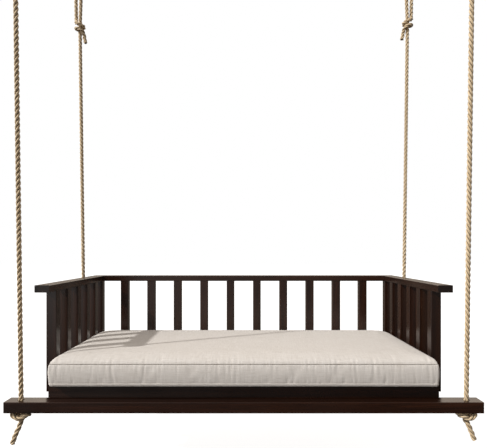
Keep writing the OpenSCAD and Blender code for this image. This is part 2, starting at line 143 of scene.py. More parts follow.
STOPPER_KNOT = [
    # inward from the hole, back, and down from the beam's underside
    (0, 0, -0.012), (0.001, 0.001, 0.003), (0.004, 0.002, 0.008), (0.009, 0.004, 0.0115),
    (0.015, 0.006, 0.013), (0.024, 0.008, 0.013), (0.034, 0.006, 0.013), (0.042, -0.001, 0.013),
    (0.042, -0.011, 0.014), (0.035, -0.019, 0.016), (0.026, -0.022, 0.019), (0.017, -0.023, 0.023),
    (0.008, -0.023, 0.028), (-0.001, -0.023, 0.031), (-0.011, -0.023, 0.029), (-0.021, -0.022, 0.025),
    (-0.031, -0.018, 0.019), (-0.038, -0.010, 0.016), (-0.040, 0, 0.014), (-0.037, 0.009, 0.014),
    (-0.029, 0.017, 0.018), (-0.019, 0.021, 0.025), (-0.009, 0.022, 0.031), (-0.002, 0.019, 0.038),
    (0, 0.013, 0.046), (-0.002, 0.006, 0.054),
]
STOPPER_TAIL = {
    LEFT: [(-0.004, 0.001, 0.062), (-0.010, 0, 0.080), (-0.026, -0.003, 0.117), (-0.041, -0.006, 0.162)],
    RIGHT: [(-0.007, 0.001, 0.062), (-0.015, 0, 0.080), (-0.028, -0.003, 0.115), (-0.037, -0.005, 0.142)],
}


def stopper_route(side):
    """the rope's stub in the hole, the knot under the beam, and its free tail"""
    return [(0, 0, STUB_TOP + BEAM_UNDER - BEAM_TOP), *STOPPER_KNOT, *STOPPER_TAIL[side]]


def smooth(points, step=ROPE_STEP):
    """a smooth curve through the points, as close points"""
    points = [Vector(p) for p in points]
    points = [2 * points[0] - points[1], *points, 2 * points[-1] - points[-2]]
    line = []
    for a, b, c, d in zip(points, points[1:], points[2:], points[3:]):
        ta, tb, tc = (max((q - p).length, 1e-6) ** 0.5 for p, q in ((a, b), (b, c), (c, d)))
        m1 = (c - b) + tb * ((b - a) / ta - (c - a) / (ta + tb))
        m2 = (c - b) + tb * ((d - c) / tc - (d - b) / (tb + tc))
        n = max(1, round((c - b).length / step))
        for i in range(n):
            t = i / n
            line.append(
                (2 * t**3 - 3 * t**2 + 1) * b + (t**3 - 2 * t**2 + t) * m1
                + (3 * t**2 - 2 * t**3) * c + (t**3 - t**2) * m2
            )
    return line + [points[-2]]


def thread_object(name, line, closed=False):
    """a mesh of edges along a line, for a geometry tree to grow on"""
    mesh = bpy.data.meshes.new(name)
    edges = [(i, i + 1) for i in range(len(line) - 1)]
    mesh.from_pydata(line, edges + [(len(line) - 1, 0)] * closed, [])
    obj = bpy.data.objects.new(name, mesh)
    scene.collection.objects.link(obj)
    return obj


def add(tree, kind, inputs=None, **settings):
    """a node with its settings, its sockets filled with values or linked from other nodes"""
    node = tree.nodes.new(kind)
    for key, value in settings.items():
        setattr(node, key, value)
    for socket, value in (inputs or {}).items():
        if isinstance(value, bpy.types.NodeSocket):
            tree.links.new(value, node.inputs[socket])
        else:
            node.inputs[socket].default_value = value
    return node


def maths(tree, operation, *values):
    return add(tree, "ShaderNodeMath", dict(enumerate(values)), operation=operation).outputs[0]


def new_tree(name, sockets):
    """an empty geometry tree with these named inputs, and its input sockets"""
    tree = bpy.data.node_groups.new(name, "GeometryNodeTree")
    tree.interface.new_socket("Geometry", in_out="INPUT", socket_type="NodeSocketGeometry")
    for socket, kind in sockets.items():
        tree.interface.new_socket(socket, in_out="INPUT", socket_type="NodeSocket" + kind)
    tree.interface.new_socket("Geometry", in_out="OUTPUT", socket_type="NodeSocketGeometry")
    return tree, tree.nodes.new("NodeGroupInput").outputs


def end_tree(tree, geometry, material):
    whole = add(tree, "GeometryNodeRealizeInstances", {"Geometry": geometry}).outputs[0]
    dressed = add(tree, "GeometryNodeSetMaterial", {"Geometry": whole, "Material": material}).outputs[0]
    add(tree, "NodeGroupOutput", {"Geometry": dressed})


def grow(obj, tree, **values):
    """runs a geometry tree on an object and keeps the result as its plain mesh"""
    modifier = obj.modifiers.new("grown", "NODES")
    modifier.node_group = tree
    for item in tree.interface.items_tree:
        if item.in_out == "INPUT" and item.name.replace(" ", "_").lower() in values:
            modifier[item.identifier] = values[item.name.replace(" ", "_").lower()]
    graph = bpy.context.evaluated_depsgraph_get()
    mesh = bpy.data.meshes.new_from_object(
        obj.evaluated_get(graph), preserve_all_data_layers=True, depsgraph=graph
    )
    obj.modifiers.clear()
    obj.data = mesh
    return obj


def rope_tree():
    """three strands, each a round lobe, that wind about a line; the line's own run is kept for the fibres"""
    tree, given = new_tree(
        "three_strand_rope",
        {
            "Lay Length": "Float",
            "Strand Radius": "Float",
            "Strand Offset": "Float",
            "Step": "Float",
            "Material": "Material",
        },
    )
    around_points = 36
    line = add(tree, "GeometryNodeMeshToCurve", {"Mesh": given["Geometry"]}).outputs[0]
    line = add(
        tree, "GeometryNodeResampleCurve", {"Curve": line, "Length": given["Step"]}, mode="LENGTH"
    ).outputs[0]
    line = add(tree, "GeometryNodeSetCurveNormal", {"Curve": line}, mode="MINIMUM_TWIST").outputs[0]
    along = add(tree, "GeometryNodeSplineParameter").outputs["Length"]
    tilt = maths(tree, "MULTIPLY", maths(tree, "DIVIDE", along, given["Lay Length"]), math.tau)
    line = add(tree, "GeometryNodeSetCurveTilt", {"Curve": line, "Tilt": tilt}).outputs[0]

    def kept(geometry, name, value, kind="FLOAT"):
        return add(
            tree,
            "GeometryNodeStoreNamedAttribute",
            {"Geometry": geometry, "Name": name, "Value": value},
            data_type=kind,
            domain="POINT",
        ).outputs[0]

    def read(name):
        return add(tree, "GeometryNodeInputNamedAttribute", {"Name": name}, data_type="FLOAT").outputs[0]

    line = kept(kept(line, "along", along), "tilt", tilt)

    ring = add(
        tree, "GeometryNodeCurvePrimitiveCircle", {"Resolution": around_points, "Radius": 1.0}
    ).outputs[0]
    number = add(tree, "GeometryNodeInputIndex").outputs[0]
    angle = maths(tree, "MULTIPLY", number, math.tau / around_points)
    lobe = maths(tree, "FRACT", maths(tree, "DIVIDE", angle, math.tau / 3))
    lobe = maths(tree, "MULTIPLY", maths(tree, "SUBTRACT", lobe, 0.5), math.tau / 3)
    side = maths(tree, "MULTIPLY", given["Strand Offset"], maths(tree, "SINE", lobe))
    bulge = maths(
        tree,
        "SUBTRACT",
        maths(tree, "MULTIPLY", given["Strand Radius"], given["Strand Radius"]),
        maths(tree, "MULTIPLY", side, side),
    )
    reach = maths(
        tree,
        "ADD",
        maths(tree, "MULTIPLY", given["Strand Offset"], maths(tree, "COSINE", lobe)),
        maths(tree, "SQRT", bulge),
    )
    outline = add(
        tree,
        "ShaderNodeCombineXYZ",
        {
            "X": maths(tree, "MULTIPLY", reach, maths(tree, "COSINE", angle)),
            "Y": maths(tree, "MULTIPLY", reach, maths(tree, "SINE", angle)),
        },
    ).outputs[0]
    ring = kept(kept(ring, "around", angle), "reach", reach)
    ring = add(tree, "GeometryNodeSetPosition", {"Geometry": ring, "Position": outline}).outputs[0]
    rope = add(
        tree, "GeometryNodeCurveToMesh", {"Curve": line, "Profile Curve": ring, "Fill Caps": True}
    ).outputs[0]
    turned = maths(tree, "ADD", read("around"), read("tilt"))
    run = add(
        tree,
        "ShaderNodeCombineXYZ",
        {
            "X": maths(tree, "MULTIPLY", read("reach"), maths(tree, "COSINE", turned)),
            "Y": maths(tree, "MULTIPLY", read("reach"), maths(tree, "SINE", turned)),
            "Z": read("along"),
        },
    ).outputs[0]
    rope = kept(rope, "fibre_run", run, "FLOAT_VECTOR")
    rope = add(tree, "GeometryNodeSetShadeSmooth", {"Geometry": rope}).outputs[0]
    end_tree(tree, rope, given["Material"])
    return tree


def new_material(name):
    material = bpy.data.materials.new(name)
    material.use_nodes = True
    return material, material.node_tree, material.node_tree.nodes["Principled BSDF"]


def ramp(tree, factor, *stops):
    """colours at places along a factor"""
    node = add(tree, "ShaderNodeValToRGB", {"Fac": factor})
    for i, (place, colour) in enumerate(stops):
        element = node.color_ramp.elements[i] if i < 2 else node.color_ramp.elements.new(place)
        element.position = place
        element.color = (*colour, 1)
    return node.outputs[0]


def stretched_noise(tree, place, scale, detail=4.0, roughness=0.55, distortion=0.0):
    """noise whose scale differs along x, y and z"""
    mapped = add(tree, "ShaderNodeMapping", {"Vector": place, "Scale": scale}).outputs[0]
    return add(
        tree,
        "ShaderNodeTexNoise",
        {"Vector": mapped, "Scale": 1.0, "Detail": detail, "Roughness": roughness, "Distortion": distortion},
    ).outputs[0]


def mixed(tree, factor, a, b, blend="MIX"):
    node = add(tree, "ShaderNodeMix", data_type="RGBA", blend_type=blend)
    for socket, value in ((node.inputs[0], factor), (node.inputs[6], a), (node.inputs[7], b)):
        if isinstance(value, bpy.types.NodeSocket):
            tree.links.new(value, socket)
        else:
            socket.default_value = value if isinstance(value, float) else (*value, 1)
    return node.outputs[2]


def graded(tree, value, start, end, low_value, high_value, kind="LINEAR"):
    """takes a value from one range to another, clamped at the ends"""
    return add(
        tree,
        "ShaderNodeMapRange",
        {"Value": value, "From Min": start, "From Max": end, "To Min": low_value, "To Max": high_value},
        interpolation_type=kind,
    ).outputs[0]


def bumped(tree, height, strength, distance, under=None):
    """a bump from a height, on top of the bump that it is given"""
    inputs = {"Height": height, "Strength": strength, "Distance": distance}
    if under is not None:
        inputs["Normal"] = under
    return add(tree, "ShaderNodeBump", inputs).outputs[0]


def hemp_fibre(name, pale):
    """long pale fibres that run with the rope, with shade painted dark down in its grooves"""
    material, tree, surface = new_material(name)
    run = add(tree, "ShaderNodeAttribute", attribute_name="fibre_run").outputs["Vector"]
    reach = add(tree, "ShaderNodeAttribute", attribute_name="reach").outputs["Fac"]
    fibres = stretched_noise(tree, run, (900, 900, 38), 5.0, 0.65)
    yarns = stretched_noise(tree, run, (330, 330, 9), 2.0, 0.4)
    patches = stretched_noise(tree, run, (12, 12, 4.5), 3.0, 0.5)
    straw = ramp(tree, fibres, (0.25, (0.40, 0.255, 0.110)), (0.68, pale))
    straw = mixed(tree, 0.35, straw, ramp(tree, yarns, (0.3, (0.38, 0.245, 0.105)), (0.66, pale)))
    faded = ramp(tree, patches, (0.3, (0.72, 0.66, 0.58)), (0.7, (1.0, 1.0, 1.0)))
    straw = mixed(tree, 0.5, straw, faded, "MULTIPLY")
    # painted shade: the grooves between the strands' lobes are painted near black
    painted_groove_shade = graded(tree, reach, 0.0068, 0.0104, 0.0, 1.0)
    straw = mixed(tree, painted_groove_shade, (0.035, 0.017, 0.006), straw)
    tree.links.new(straw, surface.inputs["Base Color"])
    surface.inputs["Roughness"].default_value = 0.82
    surface.inputs["Sheen Weight"].default_value = 0.25
    surface.inputs["Sheen Roughness"].default_value = 0.5
    bump = bumped(tree, fibres, 0.6, 0.0006, bumped(tree, yarns, 0.7, 0.0012))
    tree.links.new(bump, surface.inputs["Normal"])
    return material


laid_rope = rope_tree()
hemp = hemp_fibre("hemp_rope", (0.92, 0.765, 0.53))
LAY_LENGTH = 0.086
STRAND_R, STRAND_OFFSET = 0.0064, 0.0061


def make_rope(name, line, wind):
    return grow(
        thread_object(name, line),
        laid_rope,
        lay_length=wind * LAY_LENGTH,
        strand_radius=STRAND_R,
        strand_offset=STRAND_OFFSET,
        step=ROPE_STEP,
        material=hemp,
    )


for corner, (side, row, kz, wind) in CORNERS.items():

    def placed(route, down_from=None):
        """a route in the whole object's frame; a route that runs down is turned the right way up"""
        return [
            Vector((side * (x if down_from is None else HOLE_X - x), row * ROPE_Y + y,
                    BEAM_TOP + z if down_from is None else down_from - z))
            for x, y, z in route
        ]

    has_neck = corner == "front_left"
    line = smooth(placed(hanging_route(kz, NECK_TOP if has_neck else FOOT)))
    rope = make_rope(corner + "_hanging_rope", line, wind)
    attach(rope, corner + "_rope")
    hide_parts(corner + "_rope", corner + "_loop_knot")
    neck = []
    if has_neck:
        onward = (line[0] - line[1]).normalized()
        short = [line[0] + onward * s for s in (0.024, 0.018, 0.012, 0.006, -0.002)]
        neck = [make_rope("front_left_rope_bend", short, wind)]
        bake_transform(neck[0])
        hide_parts("front_left_rope_neck")

    line = smooth(placed(stopper_route(side), BEAM_UNDER))
    stopper = make_rope(corner + "_stopper_knot", line, wind)
    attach(stopper, "bed")
    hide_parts(corner + "_stopper")

# ---------- carrying beams and platform ----------
# Solid timber, planed with eased edges, stained espresso and sprayed with a semi-gloss clear coat.
# The rope holes are bored through near the ends. The platform's frame is dowelled and bolted down.

GRAIN_STRETCH = {"x": (0.9, 26, 26), "y": (26, 0.9, 26), "z": (26, 26, 0.9)}
PORE_STRETCH = {"x": (9, 520, 520), "y": (520, 9, 520), "z": (520, 520, 9)}
GRAIN_AXIS = {"x": (1, 0, 0), "y": (0, 1, 0), "z": (0, 0, 1)}


def dotted(tree, a, b):
    """the scalar product of two directions"""
    return add(tree, "ShaderNodeVectorMath", {0: a, 1: b}, operation="DOT_PRODUCT").outputs["Value"]


def stained_timber(grain):
    """dark stain over open-pored wood; grain is the axis that the fibres follow"""
    material, tree, surface = new_material("espresso_wood_along_" + grain)
    place = add(tree, "ShaderNodeTexCoord").outputs["Object"]
    figure = stretched_noise(tree, place, GRAIN_STRETCH[grain], 6.0, 0.62, 0.8)
    pores = stretched_noise(tree, place, PORE_STRETCH[grain], 3.0, 0.5)
    boards = stretched_noise(tree, place, tuple(s * 0.22 for s in GRAIN_STRETCH[grain]), 2.0, 0.5)
    dark, middle, light = (0.0105, 0.0034, 0.0013), (0.0195, 0.0064, 0.0026), (0.0330, 0.0110, 0.0044)
    stain = ramp(tree, figure, (0.30, dark), (0.72, light), (0.5, middle))
    uneven = ramp(tree, boards, (0.35, (0.62, 0.60, 0.60)), (0.65, (1.35, 1.25, 1.2)))
    stain = mixed(tree, 0.6, stain, uneven, "MULTIPLY")
    pore = ramp(tree, pores, (0.36, (0.35, 0.35, 0.35)), (0.47, (1, 1, 1)))
    stain = mixed(tree, 0.8, stain, pore, "MULTIPLY")
    facing = add(tree, "ShaderNodeNewGeometry").outputs["Normal"]
    end_on = maths(tree, "ABSOLUTE", dotted(tree, facing, GRAIN_AXIS[grain]))
    end_on = maths(tree, "GREATER_THAN", end_on, 0.9)
    stain = mixed(tree, maths(tree, "MULTIPLY", end_on, 0.7), stain, (0.0045, 0.0026, 0.0020))
    soft_edge = add(tree, "ShaderNodeBevel", {"Radius": 0.0025}, samples=4).outputs[0]
    edge = dotted(tree, facing, soft_edge)
    edge = graded(tree, edge, 0.995, 0.86, 0.0, 0.45)
    rubbed = stretched_noise(tree, place, (14, 14, 14), 4.0, 0.6)
    worn = maths(tree, "MULTIPLY", edge, maths(tree, "GREATER_THAN", rubbed, 0.48))
    stain = mixed(tree, worn, stain, (0.060, 0.030, 0.019))
    tree.links.new(stain, surface.inputs["Base Color"])
    smears = stretched_noise(tree, place, (3.2, 3.2, 3.2), 4.0, 0.6)
    gloss = graded(tree, smears, 0.3, 0.7, 0.18, 0.28)
    gloss = maths(tree, "ADD", gloss, maths(tree, "MULTIPLY", end_on, 0.22))
    tree.links.new(gloss, surface.inputs["Roughness"])
    surface.inputs["Specular IOR Level"].default_value = 0.42
    bump = bumped(tree, pores, 0.35, 0.0003, bumped(tree, figure, 0.25, 0.0006))
    tree.links.new(bump, surface.inputs["Normal"])
    return material


def bare_pine(grain):
    """planed pale softwood, unfinished, where it doesn't show"""
    material, tree, surface = new_material("pine_along_" + grain)
    place = add(tree, "ShaderNodeTexCoord").outputs["Object"]
    figure = stretched_noise(tree, place, tuple(s * 1.6 for s in GRAIN_STRETCH[grain]), 5.0, 0.55, 1.4)
    fine = stretched_noise(tree, place, PORE_STRETCH[grain], 3.0, 0.5)
    late, middle, early = (0.36, 0.20, 0.085), (0.56, 0.38, 0.19), (0.62, 0.44, 0.24)
    wood = ramp(tree, figure, (0.32, late), (0.62, early), (0.5, middle))
    wood = mixed(tree, 0.3, wood, ramp(tree, fine, (0.35, (0.55, 0.5, 0.45)), (0.6, (1, 1, 1))), "MULTIPLY")
    tree.links.new(wood, surface.inputs["Base Color"])
    surface.inputs["Roughness"].default_value = 0.62
    tree.links.new(bumped(tree, fine, 0.4, 0.0003), surface.inputs["Normal"])
    return material


def dress(names, material):
    for name in names:
        piece = frame["nodes"][name]
        piece.data.materials.clear()
        piece.data.materials.append(material)


espresso = {grain: stained_timber(grain) for grain in "xyz"}
dress(["front_beam", "rear_beam", "front_cleat", "front_rail", "rear_rail"], espresso["x"])
dress(["left_rail", "right_rail"], espresso["y"])
dress([f"joist_{i}" for i in range(1, 6)], bare_pine("y"))
dress(["deck_boards"], bare_pine("x"))

# ---------- arms and back ----------
# Square posts and spindles stand against the platform's rails. Flat cap rails, mitred at the back corners,
# sit on their tops over dowels.

uprights = [f"back_spindle_{i}" for i in range(1, 11)]
for hand in ("left", "right"):
    uprights += [hand + "_front_post", hand + "_corner_post"]
    uprights += [f"{hand}_spindle_{i}" for i in range(1, 5)]
dress(uprights, espresso["z"])
dress(["back_cap"], espresso["x"])
dress(["left_cap", "right_cap"], espresso["y"])

# ---------- mattress ----------
# One foam mattress in a sewn linen cover: a top panel and a border that meet in a plain seam, and a piping
# round the lower edge. The cover is a little full, so it puckers beside its seams.

low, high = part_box("mattress")
DECK = low.z
SEAM_UP, SEAM_IN = 0.109, 0.0085
CROWN, CROWN_POWER = 0.0315, 4
SIDE_RUN, FRONT_RUN = 0.074, 0.120
REAR_SHARE, REAR_FALL = 0.44, (0.250, 0.460)
SIDE_DRAW, DRAW_FADE = 0.002, 0.160
CORNER_R = 0.017
HALF_X, HALF_Y = (high.x - low.x) / 2, (high.y - low.y) / 2
MID_Y = (high.y + low.y) / 2
BORDER_ROWS = [
    # inset from the outline, height above the deck
    (0.040, 0.0004), (0.020, 0.0004), (0.0095, 0.0005), (0.0064, 0.0012), (0.0056, 0.0050),
    (0.0052, 0.0120), (0.0044, 0.0170), (0.0030, 0.0250), (0.0018, 0.0350), (0.0008, 0.0470),
    (0.0003, 0.0610), (0.0006, 0.0760), (0.0016, 0.0895), (0.0028, 0.0985), (0.0040, 0.1040),
    (0.0058, 0.1074),
]
HELD_ROWS = 6
NEAR_SEAM = [0.0, 0.0007, 0.0032, 0.0072, 0.0122, 0.0182, 0.0252, 0.0335, 0.0430, 0.0540, 0.0660, 0.0790]
COVER_CELLS = (0.0105, 0.0140)


def kept_crown(y):
    """share of the crown that is left at a place between the front and the back"""
    u = min(max((y - REAR_FALL[0]) / (REAR_FALL[1] - REAR_FALL[0]), 0), 1)
    return 1 - (1 - REAR_SHARE) * u * u * (3 - 2 * u)


def crown_part(tx, ty):
    """share of the crown at two distances from the seams, rounded where two sides meet"""
    tx, ty = max(tx / SIDE_RUN, 1e-4), max(ty / FRONT_RUN, 1e-4)
    t = (tx**-4 + ty**-4) ** (-1 / 4)
    return math.sqrt(1 - (1 - min(t, 1)) ** CROWN_POWER)


def on_outline(x, y, inset):
    """moves a point of the flat rectangle, inset from its edges, to the rounded, drawn-in outline"""
    hx, hy = HALF_X - inset, HALF_Y - inset
    r = max(CORNER_R - inset, 0.006)
    cx, cy = hx - r, hy - r
    if abs(x) > cx and abs(y) > cy:
        p, q = (abs(x) - cx) / r, (abs(y) - cy) / r
        x = math.copysign(cx + r * p * math.sqrt(max(1 - q * q / 2, 0)), x)
        y = math.copysign(cy + r * q * math.sqrt(max(1 - p * p / 2, 0)), y)
    near_x = max(0, 1 - (HALF_X - abs(x)) / DRAW_FADE)
    near_y = max(0, 1 - (HALF_Y - abs(y)) / DRAW_FADE)
    pull_x = SIDE_DRAW * near_x * (1 - (y / HALF_Y) ** 2)
    pull_y = SIDE_DRAW * near_y * (1 - (x / HALF_X) ** 2)
    return x - math.copysign(pull_x, x), y - math.copysign(pull_y, y)


def grid_lines(half, near, cell):
    """places of the top panel's lines across one direction, close together beside the seams"""
    edge = [half - t for t in near]
    n = round(2 * edge[-1] / cell)
    return [-v for v in edge] + [edge[-1] * (2 * i / n - 1) for i in range(1, n)] + edge[::-1]


def mattress_cover(near, cell_x, cell_y, rows):
    """the sewn cover before it fills out, open below: points, faces, and what its seams and foot hold"""
    xs = grid_lines(HALF_X - SEAM_IN, near, cell_x)
    ys = grid_lines(HALF_Y - SEAM_IN, near, cell_y)
    nx, ny = len(xs) - 1, len(ys) - 1
    points, held, index = [], [], {}

    def put(key, x, y, z, hold):
        index[key] = len(points)
        points.append((x, MID_Y + y, DECK + z))
        held.append(hold)

    for i, u in enumerate(xs):
        for j, v in enumerate(ys):
            tx, ty = HALF_X - SEAM_IN - abs(u), HALF_Y - SEAM_IN - abs(v)
            x, y = on_outline(u, v, SEAM_IN + min(tx, ty))
            rise = CROWN * crown_part(tx, ty) * kept_crown(MID_Y + y)
            put(("top", i, j), x, y, SEAM_UP + rise, 1.0 if min(tx, ty) < 0.0005 else 0.0)
    rim = [(i, 0) for i in range(nx)] + [(nx, j) for j in range(ny)]
    rim += [(i, ny) for i in range(nx, 0, -1)] + [(0, j) for j in range(ny, 0, -1)]
    for k, (i, j) in enumerate(rim):
        for r, (inset, z) in enumerate(rows):
            wide, deep = (HALF_X - inset) / (HALF_X - SEAM_IN), (HALF_Y - inset) / (HALF_Y - SEAM_IN)
            x, y = on_outline(xs[i] * wide, ys[j] * deep, inset)
            put(("side", k, r), x, y, z, 1.0 if z <= BORDER_ROWS[HELD_ROWS - 1][1] else 0.0)
    faces = []
    for i in range(nx):
        for j in range(ny):
            faces.append([index[("top", *p)] for p in ((i, j), (i + 1, j), (i + 1, j + 1), (i, j + 1))])
    for k, corner in enumerate(rim):
        after = (k + 1) % len(rim)
        column = [index[("side", k, r)] for r in range(len(rows))] + [index[("top", *corner)]]
        beside = [index[("side", after, r)] for r in range(len(rows))] + [index[("top", *rim[after])]]
        faces += [[a, b, c, d] for a, b, c, d in zip(column, beside, beside[1:], column[1:])]
    return points, faces, held


def close_below(mesh):
    """fills the cover's open foot with a flat fan"""
    work = bmesh.new()
    work.from_mesh(mesh)
    rim = [edge for edge in work.edges if edge.is_boundary]
    middle = work.verts.new((0, MID_Y, DECK + BORDER_ROWS[0][1]))
    for edge in rim:
        loop = edge.link_loops[0]
        work.faces.new((loop.link_loop_next.vert, loop.vert, middle))
    work.to_mesh(mesh)
    work.free()


def plain_mesh(name, points, faces):
    mesh = bpy.data.meshes.new(name)
    mesh.from_pydata(points, [], faces)
    obj = bpy.data.objects.new(name, mesh)
    scene.collection.objects.link(obj)
    return obj


def coordinates(mesh):
    flat = np.empty(len(mesh.vertices) * 3)
    mesh.vertices.foreach_get("co", flat)
    return flat.reshape(-1, 3)


COVER_FULLNESS = 0.012
FOAM_PRESSURE = 4.0
SETTLED = 20               # frames that the cloth takes to come to rest
ROUGH_NEAR_SEAM, ROUGH_CELL = [0.0, 0.010, 0.030, 0.055], 0.034
NEIGHBOURS, NEIGHBOUR_REACH = 9, 0.024
SWELL_TOP, SWELL_SIDE, SWELL_FADE = 0.007, 0.0014, 0.100


def foam_swell(points):
    """how far the foam pushes each point of the cover, from a simulation of the cover in larger cells"""
    rough_rows = BORDER_ROWS[HELD_ROWS - 1 :: 3]
    rough, faces, held = mattress_cover(ROUGH_NEAR_SEAM, ROUGH_CELL, ROUGH_CELL, rough_rows)
    sack = plain_mesh("cover_simulation", rough, faces)
    close_below(sack.data)
    pins = sack.vertex_groups.new(name="held")
    for i, weight in enumerate([*held, 1.0]):
        pins.add([i], weight, "REPLACE")
    cloth = sack.modifiers.new("cloth", "CLOTH")
    cloth.settings.quality = 4
    cloth.settings.mass = 0.35
    cloth.settings.tension_stiffness = cloth.settings.compression_stiffness = 10
    cloth.settings.shear_stiffness = 5
    cloth.settings.bending_stiffness = 0.2
    cloth.settings.shrink_min = -COVER_FULLNESS
    cloth.settings.use_pressure = True
    cloth.settings.uniform_pressure_force = FOAM_PRESSURE
    cloth.settings.vertex_group_mass = "held"
    cloth.settings.effector_weights.gravity = 0
    cloth.collision_settings.use_collision = False
    cloth.collision_settings.use_self_collision = False
    cloth.point_cache.frame_start, cloth.point_cache.frame_end = 1, SETTLED
    for step in range(1, SETTLED + 1):
        scene.frame_set(step)
    graph = bpy.context.evaluated_depsgraph_get()
    swollen = bpy.data.meshes.new_from_object(sack.evaluated_get(graph), depsgraph=graph)
    push = coordinates(swollen)[: len(rough)] - np.array(rough)
    scene.frame_set(1)
    bpy.data.objects.remove(sack)
    tree = kdtree.KDTree(len(rough))
    for i, place in enumerate(rough):
        tree.insert(place, i)
    tree.balance()
    spread = []
    for place in points:
        near = tree.find_n(place, NEIGHBOURS)
        weights = np.array([math.exp(-((d / NEIGHBOUR_REACH) ** 2)) + 1e-9 for _, _, d in near])
        spread.append((weights[:, None] * push[[i for _, i, _ in near]]).sum(0) / weights.sum())
    spread, place = np.array(spread), np.array(points)
    length = np.maximum(np.linalg.norm(spread, axis=1), 1e-9)
    inward = np.minimum(HALF_X - abs(place[:, 0]), HALF_Y - abs(place[:, 1] - MID_Y)) - SEAM_IN
    risen = np.clip(inward / SWELL_FADE, 0.02, 1) ** 1.5
    most = np.where(place[:, 2] > DECK + SEAM_UP + 0.001, SWELL_TOP * risen, SWELL_SIDE)
    return spread * (most * np.tanh(length / most) / length)[:, None]


def filled_cover(name):
    points, faces, held = mattress_cover(NEAR_SEAM, *COVER_CELLS, BORDER_ROWS)
    free = 1 - np.array(held)
    points = [tuple(p) for p in np.array(points) + foam_swell(points) * free[:, None]]
    obj = plain_mesh(name, points, faces)
    smoothed = obj.modifiers.new("smoothed", "SUBSURF")
    smoothed.levels = smoothed.render_levels = 1
    graph = bpy.context.evaluated_depsgraph_get()
    fine = bpy.data.meshes.new_from_object(obj.evaluated_get(graph), depsgraph=graph)
    obj.modifiers.clear()
    close_below(fine)
    obj.data = fine
    return obj


PUCKER = 0.0046
PIPING_UP, PIPING_IN, PIPING_R = 0.012, 0.0046, 0.0025
# the dark cord in the seam, whose colour is painted shade for the seam's crease
SEAM_CORD_IN, SEAM_CORD_R = 0.0074, 0.0013


def gathers(rng, half, spacing, reach):
    """where puckers start along one seam: place, half width, depth, reach, reach on the other side, lean"""
    at, found = -half + 0.02, []
    while at < half - 0.015:
        shape = (rng.uniform(0.0045, 0.0085), rng.uniform(0.15, 1.0) ** 1.7, rng.uniform(*reach))
        found.append((at, *shape, rng.uniform(0.3, 0.9), rng.uniform(-0.12, 0.12)))
        at += rng.uniform(*spacing)
    return found


def dent(along, away, width, depth, reach):
    """a pucker's hollow and the ridges beside it; it starts just off the seam and fades out at its reach"""
    off = (along / (width * (1 + 3 * away))) ** 2
    start = 1 - np.exp(-away / 0.004)
    fade = np.where(away < 4 * reach, np.exp(-((away / reach) ** 1.6)), 0)
    return PUCKER * depth * start * fade * (np.exp(-off) - 0.5 * np.exp(-off / 3.5))


def pucker(mesh):
    """dents that run away from the seam and the piping"""
    rng = random.Random(20)
    place = coordinates(mesh)
    normal = np.empty(len(place) * 3)
    mesh.vertex_normals.foreach_get("vector", normal)
    x, y, z = place[:, 0], place[:, 1] - MID_Y, place[:, 2] - DECK
    depth = np.zeros(len(place))
    for along, half, inward in (
        (x, HALF_X, HALF_Y + y), (x, HALF_X, HALF_Y - y), (y, HALF_Y, HALF_X - x), (y, HALF_Y, HALF_X + x)
    ):
        above = z >= SEAM_UP
        border = (inward < 0.019) & ~above
        for at, width, share, reach, top_share, lean in gathers(rng, half, (0.010, 0.042), (0.018, 0.080)):
            away = np.where(border, SEAM_UP - z, np.where(above, np.maximum(inward - SEAM_IN, 0), 1.0))
            reach = np.where(above, reach * top_share, reach)
            depth += dent(along - at - lean * away, away, width, share, reach)
        for at, width, share, reach, _, lean in gathers(rng, half, (0.014, 0.055), (0.012, 0.045)):
            away = np.where(border & (z > PIPING_UP), z - PIPING_UP, 1.0)
            depth += dent(along - at - lean * away, away, width, 0.8 * share, reach)
    place = place - normal.reshape(-1, 3) * depth[:, None]
    mesh.vertices.foreach_set("co", place.ravel())
    mesh.update()


def weave_map(mesh):
    """metres along and across the cloth at every face's corners, for the weave to follow"""
    layer = mesh.uv_layers.new(name="weave").data
    for face in mesh.polygons:
        nx, ny, nz = (abs(v) for v in face.normal)
        flat_face = nz > max(nx, ny)
        for loop in face.loop_indices:
            x, y, z = mesh.vertices[mesh.loops[loop].vertex_index].co
            layer[loop].uv = (x, y) if flat_face else (x, z) if ny > nx else (y, z)


def linen_weave():
    """a plain weave of uneven slubbed yarns, oatmeal"""
    material, tree, surface = new_material("linen")
    run = add(tree, "ShaderNodeUVMap", uv_map="weave").outputs[0]
    across = stretched_noise(tree, run, (14, 900, 1), 3.0, 0.6)
    down = stretched_noise(tree, run, (900, 14, 1), 3.0, 0.6)
    slubs_across = stretched_noise(tree, run, (7, 210, 1), 3.0, 0.6)
    slubs_down = stretched_noise(tree, run, (230, 6, 1), 3.0, 0.6)
    slubs = maths(tree, "ADD", slubs_across, slubs_down)
    cloudy = stretched_noise(tree, run, (6, 6, 6), 4.0, 0.6)
    yarn = maths(tree, "MULTIPLY", maths(tree, "ADD", across, down), 0.5)
    cloth = ramp(tree, yarn, (0.36, (0.57, 0.53, 0.485)), (0.62, (0.79, 0.76, 0.725)))
    thick = ramp(tree, maths(tree, "MULTIPLY", slubs, 0.5), (0.38, (0.86, 0.84, 0.81)), (0.60, (1, 1, 1)))
    cloth = mixed(tree, 0.5, cloth, thick, "MULTIPLY")
    faded = ramp(tree, cloudy, (0.3, (0.90, 0.88, 0.86)), (0.7, (1, 1, 1)))
    cloth = mixed(tree, 0.35, cloth, faded, "MULTIPLY")
    tree.links.new(cloth, surface.inputs["Base Color"])
    surface.inputs["Roughness"].default_value = 0.9
    surface.inputs["Sheen Weight"].default_value = 0.15
    surface.inputs["Sheen Roughness"].default_value = 0.45
    surface.inputs["Specular IOR Level"].default_value = 0.15
    bump = bumped(tree, yarn, 0.4, 0.0005, bumped(tree, slubs, 0.35, 0.0008))
    tree.links.new(bump, surface.inputs["Normal"])
    return material


